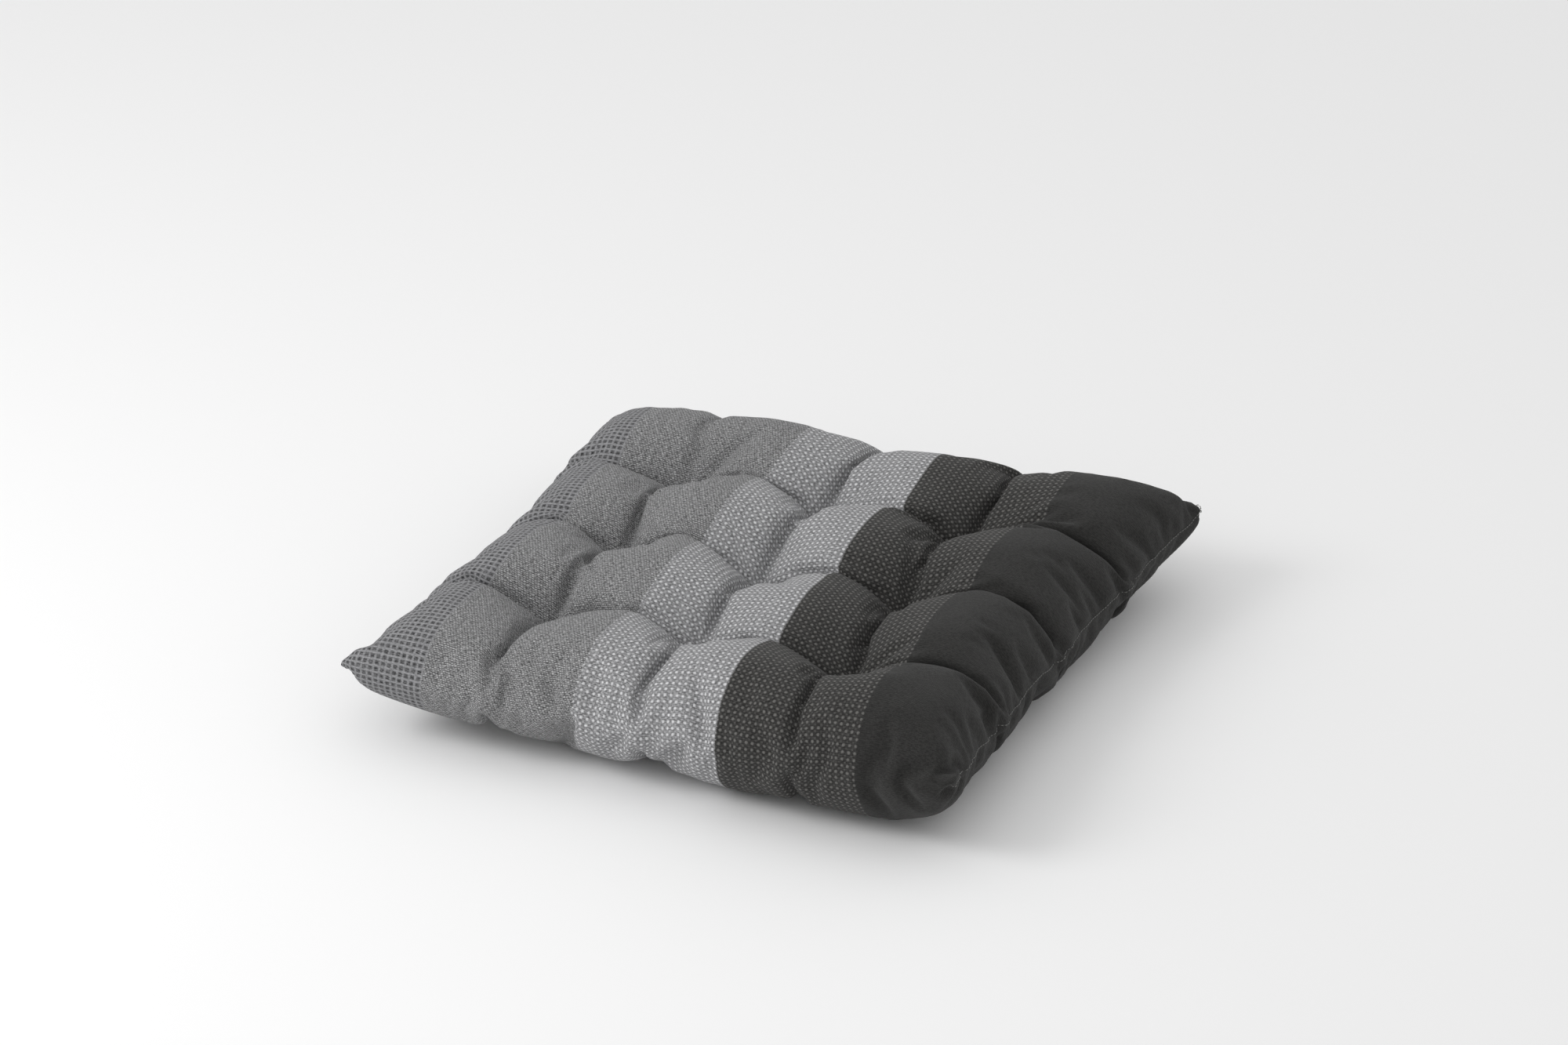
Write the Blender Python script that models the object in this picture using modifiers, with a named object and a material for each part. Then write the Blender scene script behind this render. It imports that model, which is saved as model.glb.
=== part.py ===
"""A square tufted seat pad, as it comes apart on a bench.

The cover is one woven panel, folded along the front edge (-Y) and sewn round the other three
with its seam allowances turned inside. A fibre filling lies in it, and nine loops of twine pull
its two sides together, which makes four by four puffed pockets. The stripes run along Y.

Metres, +Z up. The origin is at the bottom centre, on the surface that the pad rests on.
"""
import math

import bmesh
import bpy
from mathutils import Vector

NAME = "seat_pad"

# Driving sizes of the pad.
SIDE = 0.460                # from corner to corner along one edge
SEAM_HEIGHT = 0.042         # the edge seam above the resting surface
TOP_RISE = 0.049            # pocket crests above the seam
BOTTOM_DROP = 0.055         # pocket crests below the seam, before the surface flattens them
TUFT_PITCH = 0.110          # between neighbouring tufts
TUFT_RISE = 0.007           # the cover at a tuft, from the seam plane
TUFT_SEAT = 0.004           # half the width of the flat that a tuft pulls into the cover
VALLEY = 0.55               # height of a crease midway between two tufts, as a share of a crest
EDGE_ROUND = 0.050          # how far in from the edge the sides curve down
EDGE_PULL = 0.009           # how far a side is drawn in midway between the corners
EDGE_PUCKER = 0.004         # extra draw where a row of tufts meets the edge

# Cloth, thread and clearances.
CLOTH = 0.0009              # thickness of the woven cover
GAP = 0.0003                # between pieces that touch
THREAD_RADIUS = 0.00035
TWINE_RADIUS = 0.0008
FLANGE = 0.008              # width of the turned-in seam allowance
FOLD = 0.0024               # height of the rolled fold above the seam allowance
BORDER = 0.006              # first line of the puffed surface, in from the edge
THREAD_INSET = 0.004        # seam line, in from the edge
FILLING_SHARE = 0.35        # side wall of the filling, across the outermost strip of the surface
FILLING_EASE = 0.15         # how much thinner the filling is at its side wall
FILLING_CLEARANCE = 0.0010  # between the filling and the cloth, over faceted surfaces
TWINE_LEG = 0.0025          # half the distance between a tuft's two legs
KNOT_RADIUS = 0.0017
OPENING = 0.200             # length of the back edge that was closed last, after filling
SEAM_START = 0.018          # first stitch of the side seams, behind the fold

HALF = SIDE / 2
SEAM_GAP = THREAD_RADIUS + GAP
TUFT_LINES = (-TUFT_PITCH, 0.0, TUFT_PITCH)
POCKET_SHARES = (0.22, 0.50, 0.78)
RINGS = 3                   # grid rings that make the seam allowance and the fold
WELD = 0.00001              # points closer than this are one point
UP = 1
DOWN = -1

COLOURS = {
    "cover": (0.20, 0.20, 0.21),
    "fibre_filling": (0.86, 0.86, 0.84),
    "tuft_twine": (0.08, 0.08, 0.08),
    "seam_thread": (0.30, 0.30, 0.31),
}


# ---- scene ----------------------------------------------------------------------------------

def clear_scene():
    for thing in list(bpy.data.objects):
        bpy.data.objects.remove(thing, do_unlink=True)


def new_collection(name):
    collection = bpy.data.collections.new(name)
    bpy.context.scene.collection.children.link(collection)
    return collection


def new_object(name, mesh, collection):
    thing = bpy.data.objects.new(name, mesh)
    collection.objects.link(thing)
    return thing


def paint(thing, colour_name, roughness=0.9):
    material = bpy.data.materials.new(thing.name)
    material.use_nodes = True
    shader = material.node_tree.nodes["Principled BSDF"]
    shader.inputs["Base Color"].default_value = (*COLOURS[colour_name], 1.0)
    shader.inputs["Roughness"].default_value = roughness
    shader.inputs["Metallic"].default_value = 0.0
    thing.data.materials.clear()
    thing.data.materials.append(material)


# ---- the pad's surface ----------------------------------------------------------------------

def nearest_tuft_line(u):
    return min(TUFT_LINES, key=lambda line: abs(u - line))


def swell(u):
    """0 on a row of tufts, 1 along the middle of a pocket and on to the edge."""
    out = max(0.0, abs(u - nearest_tuft_line(u)) - TUFT_SEAT)
    share = min(1.0, out / (TUFT_PITCH / 2 - TUFT_SEAT))
    return math.sin(share * math.pi / 2) ** 0.7


def side_curve(u):
    """1 inside, curving down to 0 at the edge."""
    share = min(1.0, (HALF - abs(u)) / EDGE_ROUND)
    return math.sqrt(1.0 - (1.0 - share) ** 2)


def pocket_height(u, v, rise):
    """Height of the puffed surface over the seam plane."""
    a = swell(u)
    b = swell(v)
    puff = VALLEY * (1 - (1 - a) * (1 - b)) + (1 - VALLEY) * a * b
    return side_curve(u) * side_curve(v) * (TUFT_RISE + (rise - TUFT_RISE) * puff)


def edge_draw(along):
    """How far the edge is drawn in at a place along a side."""
    bow = EDGE_PULL * (1 - (along / HALF) ** 2)
    pucker = max(0.0, 1 - abs(along - nearest_tuft_line(along)) / (TUFT_PITCH / 3))
    return bow + EDGE_PUCKER * pucker


def drawn_in(u, v):
    """u after the sides are drawn in, which leaves the tufts where they are."""
    share = max(0.0, (abs(u) - TUFT_PITCH) / (HALF - TUFT_PITCH))
    return u - math.copysign(edge_draw(v) * share ** 2, u)


def outline(u, v, inset):
    """A point of the edge, moved in by an inset."""
    limit = HALF - inset
    x = max(-limit, min(limit, u))
    y = max(-limit, min(limit, v))
    return drawn_in(x, y), drawn_in(y, x)


def surface_lines():
    """Grid lines of the puffed surface along one axis, finer at the tufts."""
    half = [TUFT_SEAT]
    half += [TUFT_SEAT + share * (TUFT_PITCH - 2 * TUFT_SEAT) for share in POCKET_SHARES]
    half += [TUFT_PITCH - TUFT_SEAT, TUFT_PITCH + TUFT_SEAT]
    outer = HALF - BORDER - TUFT_PITCH - TUFT_SEAT
    half += [TUFT_PITCH + TUFT_SEAT + share * outer for share in POCKET_SHARES]
    half += [HALF - BORDER]
    return [-line for line in reversed(half)] + half


def grid_mesh(count):
    """A square grid, with each vertex paired with its column and row."""
    mesh = bmesh.new()
    bmesh.ops.create_grid(mesh, x_segments=count - 1, y_segments=count - 1, size=1.0)
    cells = {}
    for vertex in mesh.verts:
        column = round((vertex.co.x + 1) / 2 * (count - 1))
        row = round((vertex.co.y + 1) / 2 * (count - 1))
        cells[vertex] = (column, row)
    return mesh, cells


def surface_point(u, v, face):
    rise = TOP_RISE if face == UP else BOTTOM_DROP
    z = SEAM_HEIGHT + face * (SEAM_GAP + pocket_height(u, v, rise))
    return Vector((drawn_in(u, v), drawn_in(v, u), max(0.0, z)))


# ---- cover and filling ---------------------------------------------------------------------

def front_fold_point(u, v, side_ring, row, face):
    """A point of the front edge, where the panel is folded and has no seam."""
    x, y = outline(u, v, 0.0)
    open_side = row == RINGS - 1 and side_ring >= RINGS - 1
    rise = SEAM_GAP + FOLD if open_side else 0.0
    return Vector((x, y, SEAM_HEIGHT + face * rise))


def cover_point(lines, column, row, face):
    """A point of the cover: puffed surface, front fold, or rolled edge and seam allowance."""
    last = len(lines) - 1
    side_ring = min(column, last - column, last - row)
    u = lines[column]
    v = lines[row]
    if min(side_ring, row) >= RINGS:
        return surface_point(u, v, face)
    if row < RINGS:
        return front_fold_point(u, v, side_ring, row, face)
    width = FLANGE if row > RINGS else BORDER / 3
    inset = width if side_ring == 0 else 0.0
    rise = FOLD if side_ring == RINGS - 1 else 0.0
    x, y = outline(u, v, inset)
    return Vector((x, y, SEAM_HEIGHT + face * (SEAM_GAP + rise)))


def cover_side(face):
    """The upper or the lower half of the folded panel."""
    lines = [-HALF] * RINGS + surface_lines() + [HALF] * RINGS
    mesh, cells = grid_mesh(len(lines))
    for vertex, (column, row) in cells.items():
        vertex.co = cover_point(lines, column, row, face)
    if face == DOWN:
        bmesh.ops.reverse_faces(mesh, faces=mesh.faces)
    return mesh


def join_faces(name):
    """Both sides of the folded panel, welded along the front edge."""
    data = bpy.data.meshes.new(name)
    lower = cover_side(DOWN)
    lower.to_mesh(data)
    lower.free()
    mesh = cover_side(UP)
    mesh.from_mesh(data)
    bmesh.ops.remove_doubles(mesh, verts=mesh.verts, dist=WELD)
    mesh.to_mesh(data)
    mesh.free()
    return data


def make_cover(collection):
    cover = new_object("cover", join_faces("cover"), collection)
    shell = cover.modifiers.new("cloth", "SOLIDIFY")
    shell.thickness = CLOTH
    shell.offset = -1.0
    paint(cover, "cover")
    return cover


def filling_face(face):
    """The inside of a cover's puffed surface, stopping short of the seam allowance."""
    lines = surface_lines()
    last = len(lines) - 1
    mesh, cells = grid_mesh(len(lines))
    for vertex, (column, row) in cells.items():
        vertex.co = surface_point(lines[column], lines[row], face)
    if face == DOWN:
        bmesh.ops.reverse_faces(mesh, faces=mesh.faces)
    mesh.normal_update()
    for vertex in cells:
        vertex.co -= vertex.normal * (CLOTH + FILLING_CLEARANCE)
    grid = {cell: vertex for vertex, cell in cells.items()}
    for (column, row), vertex in grid.items():
        inner = (min(max(column, 1), last - 1), min(max(row, 1), last - 1))
        sides = (column != inner[0]) + (row != inner[1])
        vertex.co = vertex.co.lerp(grid[inner].co, sides * FILLING_SHARE)
        vertex.co.z += (SEAM_HEIGHT - vertex.co.z) * sides * FILLING_EASE
    return mesh


def make_filling(collection):
    """Both faces of the filling, joined by a side wall."""
    data = bpy.data.meshes.new("fibre_filling")
    lower = filling_face(DOWN)
    lower.to_mesh(data)
    lower.free()
    mesh = filling_face(UP)
    mesh.from_mesh(data)
    rims = [edge for edge in mesh.edges if edge.is_boundary]
    bmesh.ops.bridge_loops(mesh, edges=rims)
    bmesh.ops.recalc_face_normals(mesh, faces=mesh.faces)
    mesh.to_mesh(data)
    mesh.free()
    filling = new_object("fibre_filling", data, collection)
    paint(filling, "fibre_filling")
    return filling


# ---- tufts and seams ------------------------------------------------------------------------

def tube(name, points, radius, collection, closed=False):
    """A round tube along points, made a welded mesh."""
    curve = bpy.data.curves.new(name, "CURVE")
    curve.dimensions = "3D"
    curve.bevel_depth = radius
    curve.bevel_resolution = 2
    curve.use_fill_caps = True
    spline = curve.splines.new("POLY")
    spline.points.add(len(points) - 1)
    for place, point in zip(spline.points, points):
        place.co = (*point, 1.0)
    spline.use_cyclic_u = closed
    guide = new_object(name + "_path", curve, collection)
    seen = guide.evaluated_get(bpy.context.evaluated_depsgraph_get())
    data = bpy.data.meshes.new_from_object(seen)
    data.name = name
    bpy.data.objects.remove(guide, do_unlink=True)
    mesh = bmesh.new()
    mesh.from_mesh(data)
    bmesh.ops.remove_doubles(mesh, verts=mesh.verts, dist=WELD)
    bmesh.ops.recalc_face_normals(mesh, faces=mesh.faces)
    mesh.to_mesh(data)
    mesh.free()
    return new_object(name, data, collection)


def cut(thing, cutter):
    hole = thing.modifiers.new("twine_holes", "BOOLEAN")
    hole.operation = "DIFFERENCE"
    hole.solver = "EXACT"
    hole.object = cutter


def tuft_places():
    return [(x, y) for x in TUFT_LINES for y in TUFT_LINES]


def make_hole_cutter(collection):
    """Needle holes: two for each tuft, right through the pad."""
    mesh = bmesh.new()
    for x, y in tuft_places():
        for leg in (-TWINE_LEG, TWINE_LEG):
            made = bmesh.ops.create_cone(
                mesh, cap_ends=True, segments=8, depth=SEAM_HEIGHT,
                radius1=TWINE_RADIUS + GAP, radius2=TWINE_RADIUS + GAP)
            bmesh.ops.translate(mesh, verts=made["verts"], vec=(x + leg, y, SEAM_HEIGHT))
    data = bpy.data.meshes.new("twine_holes")
    mesh.to_mesh(data)
    mesh.free()
    cutter = new_object("twine_holes", data, collection)
    cutter.hide_render = True
    cutter.display_type = "WIRE"
    return cutter


def make_knot_cutter(name, x, y, z, collection):
    """The knot as a guide body, joined to its twine by a union."""
    mesh = bmesh.new()
    bmesh.ops.create_uvsphere(mesh, u_segments=8, v_segments=6, radius=KNOT_RADIUS)
    bmesh.ops.translate(mesh, verts=mesh.verts, vec=(x, y, z))
    data = bpy.data.meshes.new(name)
    mesh.to_mesh(data)
    mesh.free()
    knot = new_object(name, data, collection)
    knot.hide_render = True
    knot.display_type = "WIRE"
    return knot


def twine_loop(x, y):
    """Up through one hole, over the top cover, down the other and under the bottom cover."""
    reach = SEAM_GAP + TUFT_RISE + GAP + TWINE_RADIUS
    bend = TWINE_RADIUS
    points = []
    for side, face in ((1, UP), (-1, UP), (-1, DOWN), (1, DOWN)):
        level = SEAM_HEIGHT + face * reach
        leg = (x + side * TWINE_LEG, y, level - face * bend)
        turn = (x + side * (TWINE_LEG - bend * 0.3), y, level - face * bend * 0.3)
        bar = (x + side * (TWINE_LEG - bend), y, level)
        points += [leg, turn, bar] if side == face else [bar, turn, leg]
    return points


def make_tufts(collection, guides):
    level = SEAM_HEIGHT - SEAM_GAP - TUFT_RISE - GAP - KNOT_RADIUS
    for column, x in enumerate(TUFT_LINES, 1):
        for row, y in enumerate(TUFT_LINES, 1):
            name = f"tuft_twine_{column}_{row}"
            twine = tube(name, twine_loop(x, y), TWINE_RADIUS, collection, closed=True)
            knot = make_knot_cutter(f"knot_{column}_{row}", x, y, level, guides)
            join = twine.modifiers.new("knot", "BOOLEAN")
            join.operation = "UNION"
            join.solver = "EXACT"
            join.object = knot
            paint(twine, "tuft_twine", 0.7)


def seam_path(places):
    path = [outline(u, v, THREAD_INSET) for u, v in places]
    return [(x, y, SEAM_HEIGHT) for x, y in path]


def side_steps(start, stop, count):
    return [start + (stop - start) * step / count for step in range(count + 1)]


def make_seams(collection):
    """The seam up both sides and along the back, and the one that closed it after filling."""
    turn = HALF - 2 * THREAD_INSET
    end = OPENING / 2 + GAP * 2
    up_side = side_steps(SEAM_START - HALF, turn, 12)
    path = [(u, HALF) for u in side_steps(end, turn, 4)]
    path += [(HALF, v) for v in reversed(up_side)]
    right = tube("side_seam_thread_right", seam_path(path), THREAD_RADIUS, collection)
    path = [(-HALF, v) for v in up_side]
    path += [(u, HALF) for u in side_steps(-turn, -end, 4)]
    left = tube("side_seam_thread_left", seam_path(path), THREAD_RADIUS, collection)
    path = [(u, HALF) for u in side_steps(-OPENING / 2, OPENING / 2, 8)]
    close = tube("closing_seam_thread", seam_path(path), THREAD_RADIUS, collection)
    for thread in (right, left, close):
        paint(thread, "seam_thread", 0.6)


def build():
    clear_scene()
    pieces = new_collection(NAME)
    guides = new_collection("guides")
    holes = make_hole_cutter(guides)
    cut(make_cover(pieces), holes)
    cut(make_filling(pieces), holes)
    make_tufts(pieces, guides)
    make_seams(pieces)


build()
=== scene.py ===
"""Looks of the chair seat pad: a stuffed, tufted pad in striped woven cloth."""

import math

import bpy
import numpy as np
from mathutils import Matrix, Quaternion, Vector
from mathutils.bvhtree import BVHTree


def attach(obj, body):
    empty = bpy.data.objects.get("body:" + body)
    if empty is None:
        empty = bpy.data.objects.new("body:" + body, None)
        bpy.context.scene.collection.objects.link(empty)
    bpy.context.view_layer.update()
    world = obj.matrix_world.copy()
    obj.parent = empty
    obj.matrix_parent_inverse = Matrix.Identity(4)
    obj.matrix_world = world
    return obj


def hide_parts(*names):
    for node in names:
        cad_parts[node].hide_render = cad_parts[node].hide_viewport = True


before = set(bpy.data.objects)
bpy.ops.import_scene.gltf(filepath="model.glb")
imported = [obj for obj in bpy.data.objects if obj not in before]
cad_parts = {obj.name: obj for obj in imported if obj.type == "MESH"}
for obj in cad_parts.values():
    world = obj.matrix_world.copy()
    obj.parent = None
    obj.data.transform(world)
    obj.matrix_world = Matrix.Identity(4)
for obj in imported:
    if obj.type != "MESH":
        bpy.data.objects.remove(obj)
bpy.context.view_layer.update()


# The cloth, in square cells: between two tufts, and from the outer tufts to each side
CELL = 0.00515
PITCH_CELLS = 26
LEFT_CELLS, RIGHT_CELLS, FRONT_CELLS, BACK_CELLS = 24, 29, 27, 28
CELLS_X = LEFT_CELLS + 2 * PITCH_CELLS + RIGHT_CELLS
CELLS_Y = FRONT_CELLS + 2 * PITCH_CELLS + BACK_CELLS
PANEL_X, PANEL_Y = CELLS_X * CELL, CELLS_Y * CELL
PANEL_ENDS = (
    (-(LEFT_CELLS + PITCH_CELLS) * CELL, (PITCH_CELLS + RIGHT_CELLS) * CELL),
    (-(FRONT_CELLS + PITCH_CELLS) * CELL, (PITCH_CELLS + BACK_CELLS) * CELL),
)
UV_NAME = "cloth"

# The finished pad. Its tufts are placed by hand, so each is a little off its square grid.
PITCH = 0.110
SEAM_HEIGHT = 0.044
TUFT_RISE = 0.004
START_RISE = 0.042
TUFT_DRIFT = (
    ((-0.003, 0.006), (0.002, 0.004), (-0.001, 0.006)),
    ((0.000, -0.002), (-0.002, 0.000), (-0.001, -0.002)),
    ((0.006, -0.008), (0.000, 0.000), (0.002, -0.002)),
)
# The four corner tips, and how far the middle of each side lies from the line between its tips
TIPS = {
    "left_front": (-0.2215, -0.2240, 0.057),
    "right_front": (0.2360, -0.2280, 0.061),
    "right_back": (0.2480, 0.2288, 0.057),
    "left_back": (-0.2208, 0.2145, 0.046),
}
BOW = {
    "left": (0.020, 0, -0.006),
    "right": (-0.013, 0, -0.015),
    "front": (0, 0, -0.012),
    "back": (0, 0.005, -0.004),
}
SEAM_GRIP = 0.5
# Spare cloth: in front towards the right corner, and at the right towards the back corner
FRONT_SPARE, RIGHT_SPARE = 0.06, 0.07
# How far the sewing draws the sewn edges together
SEAM_GATHER = 0.12
SEAM_CREASE = 0.8

# Sewing: the tufts' twine, and the seams' thread
STITCH, KNOT = 0.0032, 0.0022
TUFT_TURNS = (0.2, -0.3, 0.9, 0.1, 0.5, -0.6, 0.0, 0.4)
TWINE_RADIUS, TWINE_PITCH = 0.0006, 0.0030
THREAD_RADIUS = 0.0003
STITCH_PITCH = 0.0032
HAND_PITCH, HAND_REACH = 0.0050, 0.0014
# Half a stitch's length, as a share of its pitch
STITCH_SHARE, HAND_SHARE = 0.36, 0.12
OPENING = 0.200

# The filling: cells left out at the seams, cells that it keeps from the cloth's folds, the width
# of its rounded edge, and its share of the room
FIBRE_TRIM = 5
FIBRE_REACH = 2
FIBRE_EDGE = 0.03
FIBRE_SHARE = 0.8

# The shape that the simulation starts from: how full its pockets are, how wide the pad's rounded
# edge is, and how high the small uneven waves are
POCKET_FULLNESS = 0.7
ROUNDED_EDGE = 0.05
RIPPLE, RIPPLE_WAVES, RIPPLE_SEED = 0.0005, 40, 8

# Simulation
FRAMES = 28
PRESSURE = 300
BENDING = 0.01
EDGE_PRESSURE = 0.9
EDGE_BAND = 0.06


# ---------------------------------------------------------------- helpers

def new_object(name, mesh, material=None):
    obj = bpy.data.objects.new(name, mesh)
    bpy.context.scene.collection.objects.link(obj)
    if material:
        obj.data.materials.append(material)
    return obj


def mesh_from(name, points, faces):
    mesh = bpy.data.meshes.new(name)
    mesh.from_pydata([tuple(p) for p in points], [], [tuple(f) for f in faces])
    mesh.validate()
    mesh.update()
    return mesh


def square(name, half):
    corners = [(-half, -half, 0), (half, -half, 0), (half, half, 0), (-half, half, 0)]
    return mesh_from(name, corners, [(0, 1, 2, 3)])


class Nodes:
    """Adds nodes to one material's tree, with short calls for arithmetic."""

    def __init__(self, material):
        self.tree = material.node_tree
        self.shader = self.tree.nodes["Principled BSDF"]

    def add(self, kind, **settings):
        node = self.tree.nodes.new(kind)
        for key, value in settings.items():
            setattr(node, key, value)
        return node

    def feed(self, socket, value):
        if isinstance(value, bpy.types.NodeSocket):
            self.tree.links.new(value, socket)
        elif value is not None:
            socket.default_value = value

    def math(self, operation, a, b=None, c=None):
        node = self.add("ShaderNodeMath", operation=operation)
        for socket, value in zip(node.inputs, (a, b, c)):
            self.feed(socket, value)
        return node.outputs[0]

    def smooth(self, value, start, end, low=0.0, high=1.0):
        """Goes from low to high as value goes from start to end, with soft ends."""
        node = self.add("ShaderNodeMapRange", interpolation_type="SMOOTHSTEP")
        for socket, given in zip(node.inputs, (value, start, end, low, high)):
            self.feed(socket, given)
        return node.outputs[0]

    def mix(self, factor, a, b):
        node = self.add("ShaderNodeMix", data_type="FLOAT")
        for socket, given in zip((node.inputs[0], node.inputs[2], node.inputs[3]), (factor, a, b)):
            self.feed(socket, given)
        return node.outputs[0]

    def mix_color(self, factor, a, b):
        node = self.add("ShaderNodeMix", data_type="RGBA")
        for socket, given in zip((node.inputs[0], node.inputs[6], node.inputs[7]), (factor, a, b)):
            self.feed(socket, given)
        return node.outputs[2]

    def noise(self, vector, scale, detail=2.0, roughness=0.5):
        node = self.add("ShaderNodeTexNoise")
        self.feed(node.inputs["Vector"], vector)
        node.inputs["Scale"].default_value = scale
        node.inputs["Detail"].default_value = detail
        node.inputs["Roughness"].default_value = roughness
        return node.outputs[0]

    def combine(self, x, y, z=0.0):
        node = self.add("ShaderNodeCombineXYZ")
        for socket, given in zip(node.inputs, (x, y, z)):
            self.feed(socket, given)
        return node.outputs[0]


def srgb(*levels):
    """A linear colour from sRGB levels of 0 to 255."""
    linear = []
    for level in levels:
        s = level / 255
        linear.append(s / 12.92 if s <= 0.04045 else ((s + 0.055) / 1.055) ** 2.4)
    return (*linear, 1.0)


def new_material(name, roughness=0.9):
    material = bpy.data.materials.new(name)
    material.use_nodes = True
    nodes = Nodes(material)
    nodes.shader.inputs["Roughness"].default_value = roughness
    return material, nodes


# ---------------------------------------------------------------- cloth material

WEAVE = 0.0045
STRIPE_BLEND = 0.0005
# The plain grey stripe's dashes: rows and dashes to a repeat, each row's shift, and unevenness
FINE_ROWS, FINE_DASHES, FINE_SHIFT, FINE_WANDER = 3, 2, 0.37, 0.0024
# Where each stripe ends, in metres of cloth from the middle tufts
STRIPES = (-0.1885, -0.0562, -0.002, 0.0715, 0.192)


def woven_stripes():
    """The cover's cloth: six stripes of different weave and yarn, all on one grid of threads."""
    material, n = new_material("striped_weave", 0.92)
    uv = n.add("ShaderNodeUVMap", uv_map=UV_NAME)
    split = n.add("ShaderNodeSeparateXYZ")
    n.feed(split.inputs[0], uv.outputs[0])
    u, v = split.outputs[0], split.outputs[1]
    cloth = n.combine(u, v)

    def cells(value, size, shift=0.0):
        """The place in a repeat of this size, from -0.5 to 0.5."""
        turns = n.math("MULTIPLY_ADD", value, 1 / size, shift)
        return n.math("SUBTRACT", n.math("FRACT", turns), 0.5)

    def dots(size_u, size_v, radius_u, radius_v, shift=0.0, soft=0.35):
        a = n.math("MULTIPLY", cells(u, size_u, shift), size_u / radius_u)
        b = n.math("MULTIPLY", cells(v, size_v, shift), size_v / radius_v)
        distance = n.math("SQRT", n.math("ADD", n.math("MULTIPLY", a, a), n.math("MULTIPLY", b, b)))
        uneven = n.math("MULTIPLY_ADD", lumps, 0.9, -0.45)
        return n.smooth(n.math("ADD", distance, uneven), 1 + soft, 1 - soft)

    def ribs(value, size):
        """Rows of thread: 1 on the crest of each, 0 between."""
        wave = n.math("COSINE", n.math("MULTIPLY", value, 2 * math.pi / size))
        return n.math("MULTIPLY_ADD", wave, 0.5, 0.5)

    def streaks(squeeze_u, squeeze_v, scale, low, high):
        """Uneven yarn: short light and dark lengths along one direction."""
        place = n.combine(n.math("MULTIPLY", u, squeeze_u), n.math("MULTIPLY", v, squeeze_v))
        return n.smooth(n.noise(place, scale, 2), low, high)

    lumps = n.noise(cloth, 420, 1)
    mottle = n.noise(cloth, 45, 3)
    weft = streaks(0.24, 1.0, 1350, 0.39, 0.61)
    warp = streaks(1.0, 0.25, 1500, 0.38, 0.62)
    thread = n.math("MULTIPLY_ADD", warp, 0.3, n.math("MULTIPLY", weft, 0.7))
    rows = ribs(v, WEAVE / 4)
    main = dots(WEAVE, WEAVE, 0.00108, 0.00098, soft=0.5)
    second = dots(WEAVE, WEAVE, 0.00080, 0.00060, shift=0.5, soft=0.6)

    # Fine dashes in staggered rows, for the plain grey stripe
    wander = n.math("MULTIPLY_ADD", n.noise(cloth, 160, 2), FINE_WANDER, v)
    row = n.math("FLOOR", n.math("MULTIPLY", wander, FINE_ROWS / WEAVE))
    dash_u = n.math("MULTIPLY_ADD", u, FINE_DASHES / WEAVE, n.math("MULTIPLY", row, FINE_SHIFT))
    dash_u = n.math("ABSOLUTE", n.math("SUBTRACT", n.math("FRACT", dash_u), 0.5))
    dash_v = n.math("ABSOLUTE", cells(wander, WEAVE / FINE_ROWS))
    dash = n.math("MULTIPLY", n.smooth(dash_u, 0.47, 0.25), n.smooth(dash_v, 0.45, 0.15))
    dash = n.math("MULTIPLY", dash, n.math("MULTIPLY_ADD", thread, 1.4, 0.3))

    # Square holes between a thick weft and a thin warp for the waffle stripe
    hole_u = n.smooth(n.math("ABSOLUTE", cells(u, WEAVE)), 0.44, 0.16)
    hole_v = n.smooth(n.math("ABSOLUTE", cells(v, WEAVE)), 0.42, 0.16)
    hole = n.math("MULTIPLY", hole_u, hole_v)
    bars = n.smooth(n.math("ABSOLUTE", cells(v, WEAVE)), 0.36, 0.48)

    bands = []
    for at in STRIPES:
        ragged = n.math("MULTIPLY_ADD", weft, 2 * STRIPE_BLEND, u)
        bands.append(n.smooth(ragged, at, at + 2 * STRIPE_BLEND))

    def stripe(values):
        """One value per stripe, joined in order across the cloth."""
        result = values[0]
        for band, value in zip(bands, values[1:]):
            result = n.mix(band, result, value)
        return result

    def shade(base, *parts):
        """A grey level: base plus each (pattern, amount)."""
        result = base
        for pattern, amount in parts:
            result = n.math("MULTIPLY_ADD", pattern, amount, result)
        return result

    # Grey levels are linear
    waffle = shade(0.150, (hole, -0.150), (bars, 0.05), (thread, 0.16), (rows, 0.02))
    plain_grey = shade(0.044, (dash, 0.20), (thread, 0.17), (second, 0.05), (main, 0.04))
    dotted = shade(0.085, (main, 0.40), (second, 0.15), (thread, 0.26), (rows, 0.06))
    light = shade(0.097, (main, 0.41), (second, 0.15), (thread, 0.245), (rows, 0.06))
    dark = shade(0.014, (main, 0.110), (second, 0.040), (thread, 0.036), (rows, 0.008))
    solid = shade(0.018, (thread, 0.016), (rows, 0.005))
    level = stripe([waffle, plain_grey, dotted, light, dark, solid])
    level = n.math("MULTIPLY", level, n.math("MULTIPLY_ADD", mottle, 0.2, 0.9))
    warm = stripe([1.0, 1.0, 1.0, 1.0, 0.975, 0.985])
    cool = stripe([1.03, 1.01, 1.02, 1.02, 0.93, 0.94])
    color = n.add("ShaderNodeCombineColor")
    n.feed(color.inputs[0], level)
    n.feed(color.inputs[1], n.math("MULTIPLY", level, warm))
    n.feed(color.inputs[2], n.math("MULTIPLY", level, cool))
    n.feed(n.shader.inputs["Base Color"], color.outputs[0])

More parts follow.
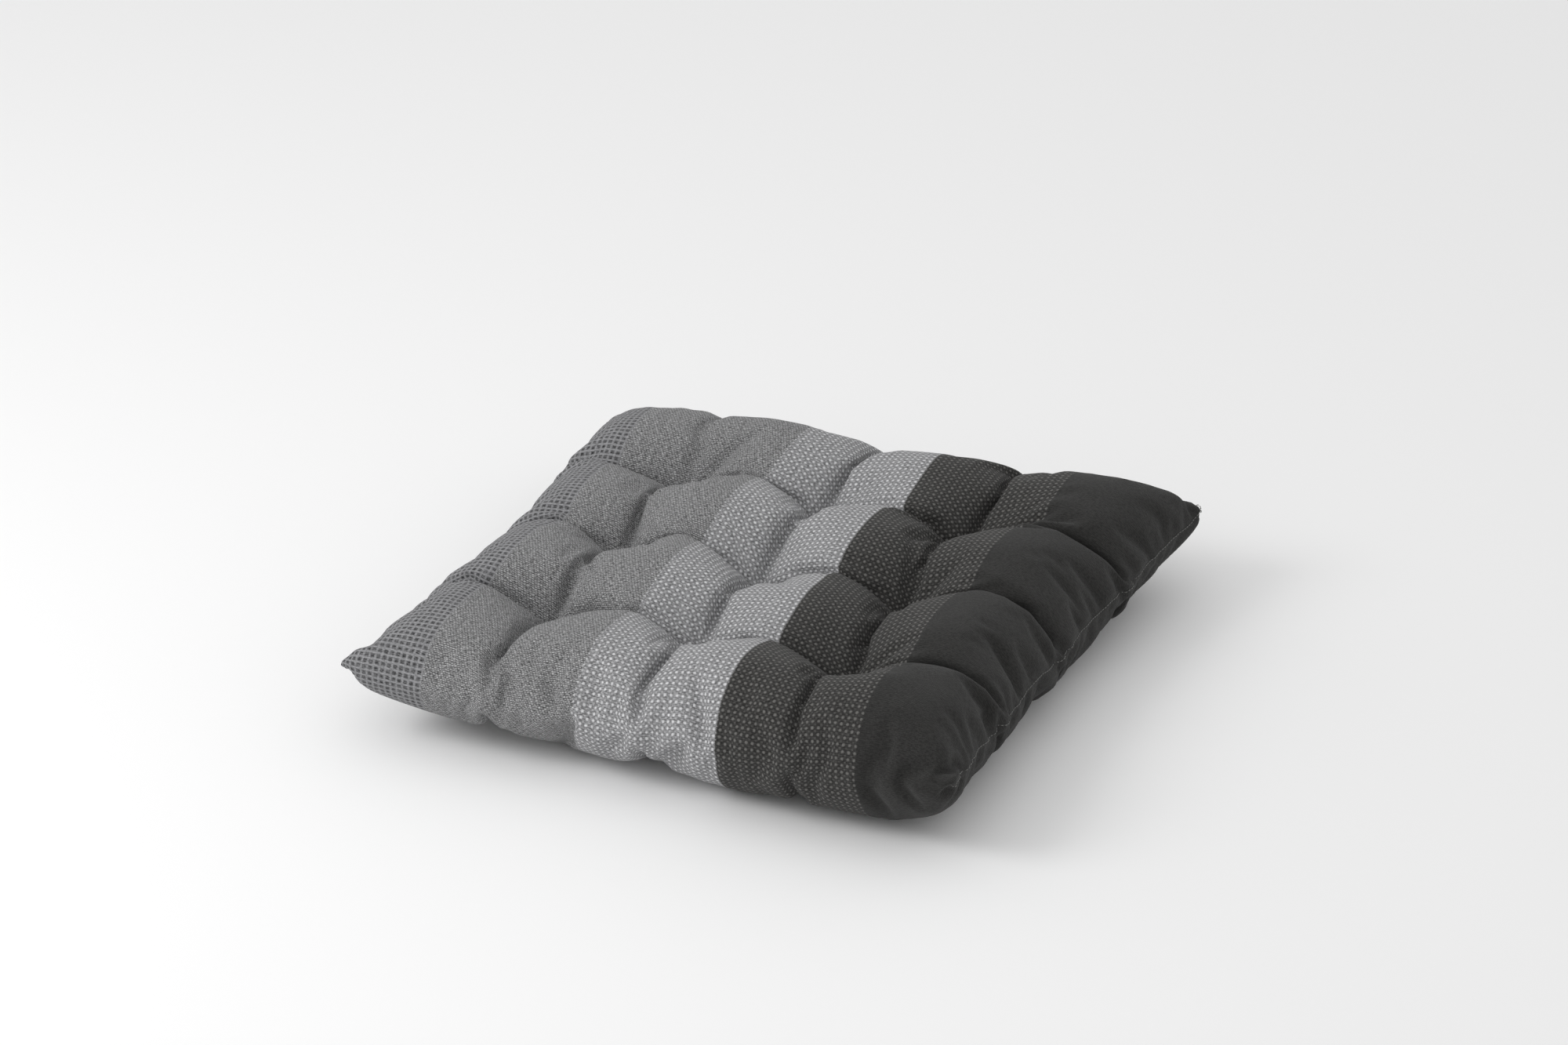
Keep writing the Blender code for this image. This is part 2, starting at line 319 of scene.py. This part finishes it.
    knobs = n.math("MULTIPLY_ADD", second, 0.45, main)
    height = stripe([
        shade(0.6, (hole, -1.3), (bars, 0.3)),
        shade(0.0, (dash, 0.35), (second, 0.25)),
        shade(knobs, (rows, 0.25)),
        shade(knobs, (rows, 0.25)),
        shade(knobs, (rows, 0.25)),
        shade(0.0, (rows, 0.3)),
    ])
    height = n.math("MULTIPLY_ADD", thread, 0.3, height)
    bump = n.add("ShaderNodeBump")
    bump.inputs["Strength"].default_value = 0.7
    bump.inputs["Distance"].default_value = 0.0007
    n.feed(bump.inputs["Height"], height)
    n.feed(n.shader.inputs["Normal"], bump.outputs[0])
    n.feed(n.shader.inputs["Roughness"], n.math("MULTIPLY_ADD", thread, -0.15, 0.95))
    n.shader.inputs["Sheen Weight"].default_value = 0.08
    n.shader.inputs["Sheen Roughness"].default_value = 0.5
    n.shader.inputs["Specular IOR Level"].default_value = 0.15
    return material


def spun(name, color):
    """Spun yarn: uneven in tone, with a little fuzz."""
    material, n = new_material(name, 0.85)
    coords = n.add("ShaderNodeTexCoord")
    fuzz = n.noise(coords.outputs["Object"], 3000, 2)
    coarse = n.noise(coords.outputs["Object"], 350, 2)
    dark = tuple(c * 0.72 for c in color[:3]) + (1.0,)
    tone = n.math("MULTIPLY_ADD", fuzz, 0.6, n.math("MULTIPLY", coarse, 0.4))
    n.feed(n.shader.inputs["Base Color"], n.mix_color(tone, dark, color))
    bump = n.add("ShaderNodeBump")
    bump.inputs["Strength"].default_value = 0.4
    bump.inputs["Distance"].default_value = 0.0002
    n.feed(bump.inputs["Height"], fuzz)
    n.feed(n.shader.inputs["Normal"], bump.outputs[0])
    n.feed(n.shader.inputs["Roughness"], n.math("MULTIPLY_ADD", fuzz, 0.2, 0.72))
    n.shader.inputs["Sheen Weight"].default_value = 0.2
    return material


def fibre():
    """Loose white stuffing: soft tangled lumps."""
    material, n = new_material("fibre", 0.95)
    coords = n.add("ShaderNodeTexCoord")
    tangle = n.noise(coords.outputs["Object"], 900, 4, 0.7)
    lumps = n.noise(coords.outputs["Object"], 70, 2)
    mix = n.math("MULTIPLY_ADD", tangle, 0.6, n.math("MULTIPLY", lumps, 0.4))
    n.feed(n.shader.inputs["Base Color"], n.mix_color(mix, srgb(205, 203, 196), srgb(244, 243, 240)))
    bump = n.add("ShaderNodeBump")
    bump.inputs["Strength"].default_value = 0.8
    bump.inputs["Distance"].default_value = 0.001
    n.feed(bump.inputs["Height"], mix)
    n.feed(n.shader.inputs["Normal"], bump.outputs[0])
    n.feed(n.shader.inputs["Roughness"], n.math("MULTIPLY_ADD", tangle, -0.1, 1.0))
    n.shader.inputs["Sheen Weight"].default_value = 0.3
    return material


# ---------------------------------------------------------------- the cloth's mesh

class Envelope:
    """The folded panel: a top and a bottom grid of cells that share their outer edge.

    With trim, that many cells are left out all round.
    """

    def __init__(self, trim=0):
        line_u = (np.arange(trim, CELLS_X + 1 - trim) - LEFT_CELLS - PITCH_CELLS) * CELL
        line_v = (np.arange(trim, CELLS_Y + 1 - trim) - FRONT_CELLS - PITCH_CELLS) * CELL
        self.u, self.v = np.meshgrid(line_u, line_v, indexing="ij")
        self.top = np.arange(self.u.size).reshape(self.u.shape)
        rim = np.zeros(self.u.shape, bool)
        rim[[0, -1], :] = True
        rim[:, [0, -1]] = True
        self.inner = ~rim
        self.bottom = self.top.copy()
        self.bottom[self.inner] = self.u.size + np.arange(self.inner.sum())
        self.columns = [LEFT_CELLS + i * PITCH_CELLS - trim for i in range(3)]
        self.rows = [FRONT_CELLS + j * PITCH_CELLS - trim for j in range(3)]
        self.tips = {
            "left_front": int(self.top[0, 0]),
            "right_front": int(self.top[-1, 0]),
            "right_back": int(self.top[-1, -1]),
            "left_back": int(self.top[0, -1]),
        }

    def seams(self):
        """The vertices along each sewn edge. The front edge is a fold."""
        return {"left": self.top[0], "right": self.top[-1], "back": self.top[:, -1]}

    def join(self, top, bottom):
        """One list with a row for every vertex, from a grid for each layer."""
        return np.concatenate([top.reshape(-1, *top.shape[2:]), bottom[self.inner]])

    def faces(self):
        def quads(grid):
            corners = (grid[:-1, :-1], grid[1:, :-1], grid[1:, 1:], grid[:-1, 1:])
            return np.stack(corners, -1).reshape(-1, 4)
        return np.concatenate([quads(self.top), quads(self.bottom)[:, ::-1]])

    def edge_depth(self):
        """How far each cell corner lies in from the panel's nearest edge."""
        across = np.minimum(self.u - self.u.min(), self.u.max() - self.u)
        along = np.minimum(self.v - self.v.min(), self.v.max() - self.v)
        return np.minimum(across, along)


def middle_plane():
    """Five by five places that the pad's middle plane passes through: tips, sides and tufts."""
    grid = np.zeros((5, 5, 3))
    for i in range(3):
        for j in range(3):
            dx, dy = TUFT_DRIFT[i][j]
            grid[i + 1, j + 1] = ((i - 1) * PITCH + dx, (j - 1) * PITCH + dy, SEAM_HEIGHT)
    sides = {
        "left": ("left_front", "left_back", lambda k: (0, k)),
        "right": ("right_front", "right_back", lambda k: (4, k)),
        "front": ("left_front", "right_front", lambda k: (k, 0)),
        "back": ("left_back", "right_back", lambda k: (k, 4)),
    }
    for side, (start, end, place) in sides.items():
        for k in range(5):
            s = k / 4
            line = (1 - s) * np.array(TIPS[start]) + s * np.array(TIPS[end])
            grid[place(k)] = line + 4 * s * (1 - s) * np.array(BOW[side])
    return grid


def middle_of(cloth):
    """The place in the pad's middle plane of every point of the cloth's grid."""
    plane = middle_plane()
    field = PITCH_CELLS * CELL

    def stretch(a, ends):
        """Which stretch between two tufts or a tuft and the edge, and how far along it."""
        marks = np.array([ends[0], -field, 0, field, ends[1]])
        index = np.clip(np.searchsorted(marks, a, side="right") - 1, 0, 3)
        return index, ((a - marks[index]) / (marks[index + 1] - marks[index]))[..., None]

    (i, s), (j, t) = stretch(cloth.u, PANEL_ENDS[0]), stretch(cloth.v, PANEL_ENDS[1])
    front = (1 - s) * plane[i, j] + s * plane[i + 1, j]
    back = (1 - s) * plane[i, j + 1] + s * plane[i + 1, j + 1]
    return (1 - t) * front + t * back


def puffed(cloth):
    """The shape that the simulation starts from: sixteen soft pockets between the tufts."""
    field = PITCH_CELLS * CELL

    def swell(a):
        far = np.abs(a)
        nearest = np.minimum(np.abs(far - field), far)
        return np.sin(np.clip(nearest / (field / 2), 0, 1) * math.pi / 2) ** POCKET_FULLNESS

    def rounding(a):
        s = np.clip(np.minimum(a - a.min(), a.max() - a) / ROUNDED_EDGE, 0, 1)
        return np.sqrt(1 - (1 - s) ** 2)

    middle = middle_of(cloth)
    a, b = swell(cloth.u), swell(cloth.v)
    puff = 0.55 * (1 - (1 - a) * (1 - b)) + 0.45 * a * b
    rise = rounding(cloth.u) * rounding(cloth.v) * (TUFT_RISE + (START_RISE - TUFT_RISE) * puff)
    lift = np.stack([np.zeros_like(rise), np.zeros_like(rise), rise], -1)
    return cloth.join(middle + lift, middle - lift)


def ripple(points):
    """Small uneven waves, so that the cloth doesn't settle into a perfect pattern."""
    random = np.random.default_rng(RIPPLE_SEED)
    moved = points.copy()
    for _ in range(RIPPLE_WAVES):
        fx, fy = random.uniform(20, 220, 2)
        turn = random.uniform(0, 2 * math.pi)
        side = random.choice([-1, 1])
        moved[:, 2] += RIPPLE / 6 * np.sin(points[:, 0] * fx + side * points[:, 1] * fy + turn)
    return moved


def flat_pattern(cloth):
    """The cloth before it is filled: flat, at its cut size."""
    field = PITCH_CELLS * CELL
    across = (cloth.u - cloth.u.min()) / PANEL_X
    along = (cloth.v - cloth.v.min()) / PANEL_Y
    u = cloth.u + RIGHT_SPARE * along * np.maximum(cloth.u - field, 0)
    v = cloth.v - FRONT_SPARE * across * np.maximum(-field - cloth.v, 0)
    flat = np.stack([u, v, np.full_like(u, SEAM_HEIGHT)], -1)
    return cloth.join(flat, flat)


def simulate(obj, cloth, frames):
    """Fills the cover with air until it stands like a stuffed pad, and returns its points."""
    obj.shape_key_add(name="Basis")
    cut = obj.shape_key_add(name="cut")
    cut.data.foreach_set("co", flat_pattern(cloth).astype(np.float32).ravel())
    held = obj.vertex_groups.new(name="held")
    held.add([int(k) for k in cloth.top[~cloth.inner]], SEAM_GRIP, "REPLACE")
    tufts = [int(layer[i, j]) for layer in (cloth.top, cloth.bottom)
             for i in cloth.columns for j in cloth.rows]
    held.add(tufts + list(cloth.tips.values()), 1.0, "REPLACE")
    share = EDGE_PRESSURE + (1 - EDGE_PRESSURE) * np.clip(cloth.edge_depth() / EDGE_BAND, 0, 1)
    share = cloth.join(share, share)
    fill = obj.vertex_groups.new(name="fill")
    for index, weight in enumerate(share.tolist()):
        fill.add([index], weight, "REPLACE")

    sewn = obj.vertex_groups.new(name="sewn")
    for seam in cloth.seams().values():
        sewn.add([int(k) for k in seam], 1.0, "REPLACE")

    # Blender reads the cut shape only when a modifier of another kind comes before the cloth
    passive = obj.modifiers.new("passive", "EDGE_SPLIT")
    passive.use_edge_angle = passive.use_edge_sharp = False
    modifier = obj.modifiers.new("cloth", "CLOTH")
    s = modifier.settings
    s.quality = 6
    s.mass = 0.05
    s.air_damping = 10
    s.tension_stiffness = s.compression_stiffness = 60
    s.shear_stiffness, s.bending_stiffness = 10, BENDING
    s.tension_damping = s.compression_damping = s.shear_damping = 1
    s.bending_damping = 0.05
    s.vertex_group_mass = "held"
    s.pin_stiffness = 1
    s.rest_shape_key = cut
    s.vertex_group_shrink = "sewn"
    s.shrink_max = SEAM_GATHER
    s.use_pressure = True
    s.uniform_pressure_force = PRESSURE
    s.vertex_group_pressure = "fill"
    s.effector_weights.gravity = 0
    modifier.collision_settings.distance_min = 0.001
    modifier.collision_settings.use_self_collision = True
    modifier.collision_settings.self_distance_min = 0.002

    rest = new_object("rest_plane", square("rest_plane", 1))
    rest.modifiers.new("collision", "COLLISION")
    rest.collision.thickness_outer = 0.001
    rest.collision.cloth_friction = 5

    scene = bpy.context.scene
    modifier.point_cache.frame_start = 1
    modifier.point_cache.frame_end = frames
    for number in range(1, frames + 1):
        scene.frame_set(number)
    shaped = obj.evaluated_get(bpy.context.evaluated_depsgraph_get()).data
    points = np.empty(len(shaped.vertices) * 3, np.float32)
    shaped.vertices.foreach_get("co", points)
    scene.frame_set(1)
    bpy.data.objects.remove(rest)
    return points.reshape(-1, 3).astype(float)


def settle(points):
    """Puts the underside on the floor."""
    points = points.copy()
    points[:, 2] -= points[:, 2].min()
    return points


def add_cloth_uv(mesh, cloth):
    """Flat cloth coordinates in metres. Past the fold, the bottom layer's run on from the top's."""
    layer = mesh.uv_layers.new(name=UV_NAME)
    size = CELLS_X * CELLS_Y
    corner_vertices = np.empty(len(mesh.loops), np.int32)
    mesh.loops.foreach_get("vertex_index", corner_vertices)
    u = cloth.join(cloth.u, cloth.u)[corner_vertices]
    v = cloth.join(cloth.v, cloth.v)[corner_vertices]
    is_bottom = np.repeat(np.arange(2 * size) >= size, 4)
    v = np.where(is_bottom, 2 * cloth.v.min() - v, v)
    layer.data.foreach_set("uv", np.stack([u, v], -1).astype(np.float32).ravel())


def sharpen_seams(mesh, cloth):
    """Keeps the sewn edges crisp under the subdivision."""
    on_seam = {}
    for side, seam in cloth.seams().items():
        for index in seam.tolist():
            on_seam.setdefault(index, set()).add(side)
    crease = mesh.attributes.new("crease_edge", "FLOAT", "EDGE")
    for edge in mesh.edges:
        start, end = (on_seam.get(index, set()) for index in edge.vertices)
        if start & end:
            crease.data[edge.index].value = SEAM_CREASE


def build_cover(material):
    cloth = Envelope()
    start = points = ripple(puffed(cloth))
    trial = new_object("trial", mesh_from("trial", start, cloth.faces()))
    points = simulate(trial, cloth, FRAMES)
    bpy.data.objects.remove(trial)
    points = settle(points)
    mesh = mesh_from("pad_cover", points, cloth.faces())
    add_cloth_uv(mesh, cloth)
    sharpen_seams(mesh, cloth)
    mesh.shade_smooth()
    cover = new_object("pad_cover", mesh, material)
    smooth = cover.modifiers.new("smooth", "SUBSURF")
    smooth.levels = smooth.render_levels = 1
    smooth.uv_smooth = "NONE"
    return cover, cloth, points


def surface_at(tree, x, y, from_above):
    """The height of the cover's top or underside at a place."""
    start, direction = ((x, y, 0.2), (0, 0, -1)) if from_above else ((x, y, -0.1), (0, 0, 1))
    return tree.ray_cast(Vector(start), Vector(direction))[0].z


def build_filling(skin, material):
    """The loose fibre inside the cover. It stays clear of the seams and of the cloth's folds."""
    core = Envelope(FIBRE_TRIM)
    middle = middle_of(core)
    top, bottom = (np.empty(core.u.shape) for _ in range(2))
    for place in np.ndindex(core.u.shape):
        x, y = middle[place][:2]
        top[place] = surface_at(skin, x, y, True)
        bottom[place] = surface_at(skin, x, y, False)

    def lowest_near(heights):
        """The lowest height within FIBRE_REACH cells of each point."""
        padded = np.pad(heights, FIBRE_REACH, mode="edge")
        width = 2 * FIBRE_REACH + 1
        windows = np.lib.stride_tricks.sliding_window_view(padded, (width, width))
        return windows.min(axis=(-2, -1))

    top, bottom = lowest_near(top), -lowest_near(-bottom)
    s = np.clip(core.edge_depth() / FIBRE_EDGE, 0, 1)
    half = FIBRE_SHARE * np.sqrt(1 - (1 - s) ** 2) * np.maximum(top - bottom, 0.001) / 2
    layers = []
    for side in (1, -1):
        layer = middle.copy()
        layer[..., 2] = (top + bottom) / 2 + side * half
        layers.append(layer)
    mesh = mesh_from("filling", core.join(*layers), core.faces())
    mesh.shade_smooth()
    return new_object("filling", mesh, material)


# ---------------------------------------------------------------- sewing

class Yarn:
    """Gathers round tubes that become one mesh."""

    def __init__(self):
        self.points, self.faces = [], []

    def tube(self, path, radius, sides=6):
        path = np.asarray(path, float)
        side, up = moving_frame(path)
        first = len(self.points)
        for k, centre in enumerate(path):
            thin = 0.55 if k in (0, len(path) - 1) else 1.0
            for step in range(sides):
                turn = 2 * math.pi * step / sides
                around = math.cos(turn) * side[k] + math.sin(turn) * up[k]
                self.points.append(centre + thin * radius * around)
        for k in range(len(path) - 1):
            for step in range(sides):
                a = first + k * sides + step
                b = first + k * sides + (step + 1) % sides
                self.faces.append((a, b, b + sides, a + sides))
        last = len(self.points) - sides
        self.faces.append(tuple(range(first + sides - 1, first - 1, -1)))
        self.faces.append(tuple(range(last, last + sides)))

    def twisted(self, route, radius, pitch, plies=2):
        """A cord of plies that wind round each other along the route."""
        path = smooth_route(route, pitch / 8)
        side, up = moving_frame(path)
        run = distances(path)
        for ply in range(plies):
            turn = 2 * math.pi * (run / pitch + ply / plies)
            swing = np.cos(turn)[:, None] * side + np.sin(turn)[:, None] * up
            self.tube(path + radius / 2 * swing, radius * 0.56)

    def finish(self, name, material):
        mesh = mesh_from(name, self.points, self.faces)
        mesh.shade_smooth()
        return new_object(name, mesh, material)


def moving_frame(path):
    """For each point of a path, two directions square to it that don't spin."""
    along = np.gradient(path, axis=0)
    along /= np.linalg.norm(along, axis=1)[:, None]
    guess = np.array((0.0, 0.0, 1.0)) if abs(along[0][2]) < 0.9 else np.array((1.0, 0.0, 0.0))
    side = np.empty_like(path)
    for k, direction in enumerate(along):
        guess = guess - guess.dot(direction) * direction
        guess /= np.linalg.norm(guess)
        side[k] = guess
    return side, np.cross(along, side)


def smooth_route(route, step):
    """A smooth curve through the points, with a point about every step."""
    route = [Vector(p) for p in route]
    ends = [2 * route[0] - route[1]] + route + [2 * route[-1] - route[-2]]
    path = []
    for p0, p1, p2, p3 in zip(ends, ends[1:], ends[2:], ends[3:]):
        count = max(2, int((p2 - p1).length / step))
        for k in range(count):
            t = k / count
            curve = 2 * p1 + (p2 - p0) * t + (2 * p0 - 5 * p1 + 4 * p2 - p3) * t ** 2
            path.append((curve + (3 * p1 - p0 - 3 * p2 + p3) * t ** 3) / 2)
    path.append(route[-1])
    return np.array([tuple(p) for p in path])


def build_twine(name, tree, place, turn, material):
    """One tuft's twine: a short stitch on top, down through the pad, and a knot with two tails."""
    x, y = place
    along = np.array((math.cos(turn), math.sin(turn), 0))
    across = np.array((-math.sin(turn), math.cos(turn), 0))
    up = np.array((0, 0, 1))

    def on(shift, from_above, lift):
        spot = np.array((x, y, 0)) + shift * along
        side = 1 if from_above else -1
        return spot + up * (surface_at(tree, spot[0], spot[1], from_above) + side * lift)

    def tail(root, *steps):
        """A loose end of twine, by its steps along, across and down from the knot."""
        return [root + a * along + b * across - c * up for a, b, c in steps]

    arch = ((-1, -0.0025), (-0.85, 0.0003), (0, 0.0008), (0.85, 0.0003), (1, -0.0025))
    top = [on(share * STITCH, True, lift) for share, lift in arch]
    low_start, low_end = on(-STITCH, False, -0.003), on(STITCH, False, -0.003)
    knot = on(0, False, KNOT)
    wraps = []
    for k in range(13):
        angle = 2 * math.pi * k / 6
        ring = math.cos(angle) * up + math.sin(angle) * across
        wraps.append(knot + KNOT * 0.62 * ring + along * KNOT * (k / 12 - 0.5) * 1.3)
    first = tail(wraps[0], (-0.010, -0.003, 0.004), (-0.005, -0.001, 0.003), (-0.001, 0, 0))
    last = tail(wraps[-1], (0.002, 0, 0.001), (0.006, 0.001, 0.003), (0.010, 0.003, 0.005))
    bridge = [on(-STITCH * 0.8, False, 0.0004), knot, on(STITCH * 0.8, False, 0.0004)]
    yarn = Yarn()
    for route in ([low_start, *top, low_end], [*first, *wraps, *last], [low_start, *bridge, low_end]):
        yarn.twisted(route, TWINE_RADIUS, TWINE_PITCH)
    return yarn.finish(name, material)


def distances(path):
    """How far along a path each of its points lies."""
    return np.concatenate([[0], np.cumsum(np.linalg.norm(np.diff(path, axis=0), axis=1))])


def seam_line(points, normals, seam):
    """A seam's route, the outward direction along it, and how far along each place lies."""
    route = smooth_route(points[seam], CELL / 4)
    run, marks = distances(route), distances(points[seam])
    marks *= run[-1] / marks[-1]
    out = np.stack([np.interp(run, marks, normals[seam][:, k]) for k in range(3)], -1)
    out /= np.linalg.norm(out, axis=1)[:, None]
    return route, out, run


def add_stitches(yarn, line, start, end, pitch, across=0.0):
    """Stitches from start to end of a seam, in metres. With across they lie over the seam."""
    route, out, run = line

    def at(place, table):
        return np.array([np.interp(place, run, table[:, k]) for k in range(3)])

    half = (HAND_SHARE if across else STITCH_SHARE) * pitch
    for count in range(int((end - start) / pitch)):
        middle = start + (count + 0.5) * pitch
        path = []
        for share, lift in ((-1, -0.5), (-0.6, 0.8), (0, 1.1), (0.6, 0.8), (1, -0.5)):
            spot = at(middle + share * half, route) + at(middle, out) * lift * THREAD_RADIUS
            spot[2] += share * across
            path.append(spot)
        yarn.tube(path, THREAD_RADIUS, 5)


def build_seams(points, normals, cloth, material):
    """The side seams run round the back corners up to the opening, which is closed by hand."""
    left, right, back = cloth.seams().values()
    across = points[back][:, 0]
    start, end = (int(np.abs(across - side * OPENING / 2).argmin()) for side in (-1, 1))
    runs = {
        "side_seam_thread_left": (np.concatenate([left, back[1:start + 1]]), STITCH_PITCH, 0.0),
        "side_seam_thread_right": (np.concatenate([right, back[end:-1][::-1]]), STITCH_PITCH, 0.0),
        "closing_seam_thread": (back[start:end + 1], HAND_PITCH, HAND_REACH),
    }
    pieces = {}
    for node, (seam, pitch, reach) in runs.items():
        line = seam_line(points, normals, seam)
        yarn = Yarn()
        add_stitches(yarn, line, pitch, line[2][-1], pitch, reach)
        pieces[node] = yarn.finish(node.replace("seam_thread", "stitches"), material)
    return pieces


# ---------------------------------------------------------------- stage

CAMERA_AZIMUTH, CAMERA_ELEVATION, CAMERA_ROLL = 23.53, 26.72, -0.41
CAMERA_AIM, CAMERA_DISTANCE, LENS = (-0.0679, 0.1986, 0.0), 4.651, 144
FLOOR_GAP = -0.0005


def make_camera():
    """The photographer's place: low, off the front corner, with a long lens."""
    azimuth, elevation = math.radians(CAMERA_AZIMUTH), math.radians(CAMERA_ELEVATION)
    back = Vector((math.sin(azimuth) * math.cos(elevation),
                   -math.cos(azimuth) * math.cos(elevation), math.sin(elevation)))
    data = bpy.data.cameras.new("camera")
    data.lens = LENS
    camera = bpy.data.objects.new("camera", data)
    bpy.context.scene.collection.objects.link(camera)
    camera.location = Vector(CAMERA_AIM) + back * CAMERA_DISTANCE
    turn = Quaternion((0, 0, 1), math.radians(CAMERA_ROLL))
    camera.rotation_euler = (back.to_track_quat("Z", "Y") @ turn).to_euler()
    bpy.context.scene.camera = camera


def area_light(name, location, target, size, power):
    data = bpy.data.lights.new(name, "AREA")
    data.energy = power
    data.size = size
    light = bpy.data.objects.new(name, data)
    bpy.context.scene.collection.objects.link(light)
    light.location = location
    aim = Vector(location) - Vector(target)
    light.rotation_euler = aim.to_track_quat("Z", "Y").to_euler()


def make_stage():
    scene = bpy.context.scene
    scene.view_settings.view_transform = "Standard"
    world = bpy.data.worlds.new("studio")
    scene.world = world
    world.use_nodes = True
    background = world.node_tree.nodes["Background"]
    background.inputs["Color"].default_value = (1, 1, 1, 1)
    background.inputs["Strength"].default_value = 0.75
    area_light("key", (-1.35, -1.15, 1.4), (0, 0, 0.04), 1.0, 17)
    floor_material, n = new_material("floor", 0.8)
    n.shader.inputs["Base Color"].default_value = srgb(250, 250, 250)
    floor = new_object("floor", square("floor", 6), floor_material)
    floor.location.z = FLOOR_GAP


# ---------------------------------------------------------------- build

make_camera()
make_stage()
cloth_material = woven_stripes()
cover, cloth, points = build_cover(cloth_material)
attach(cover, "root")
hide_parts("cover")

bpy.context.view_layer.update()
skin = BVHTree.FromObject(cover, bpy.context.evaluated_depsgraph_get())
filling = build_filling(skin, fibre())
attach(filling, "root")
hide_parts("fibre_filling")

twine_material = spun("twine", srgb(62, 62, 60))
for i in range(3):
    for j in range(3):
        tuft = points[cloth.top[cloth.columns[i], cloth.rows[j]]]
        turn = TUFT_TURNS[(i * 3 + j) % len(TUFT_TURNS)]
        twine = build_twine(f"twine_{i + 1}_{j + 1}", skin, tuft[:2], turn, twine_material)
        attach(twine, "root")
        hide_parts(f"tuft_twine_{i + 1}_{j + 1}")

thread_material = spun("thread", srgb(112, 112, 109))
normals = np.empty(len(points) * 3, np.float32)
cover.data.vertex_normals.foreach_get("vector", normals)
for node, piece in build_seams(points, normals.reshape(-1, 3), cloth, thread_material).items():
    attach(piece, "root")
    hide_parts(node)

bpy.context.view_layer.update()
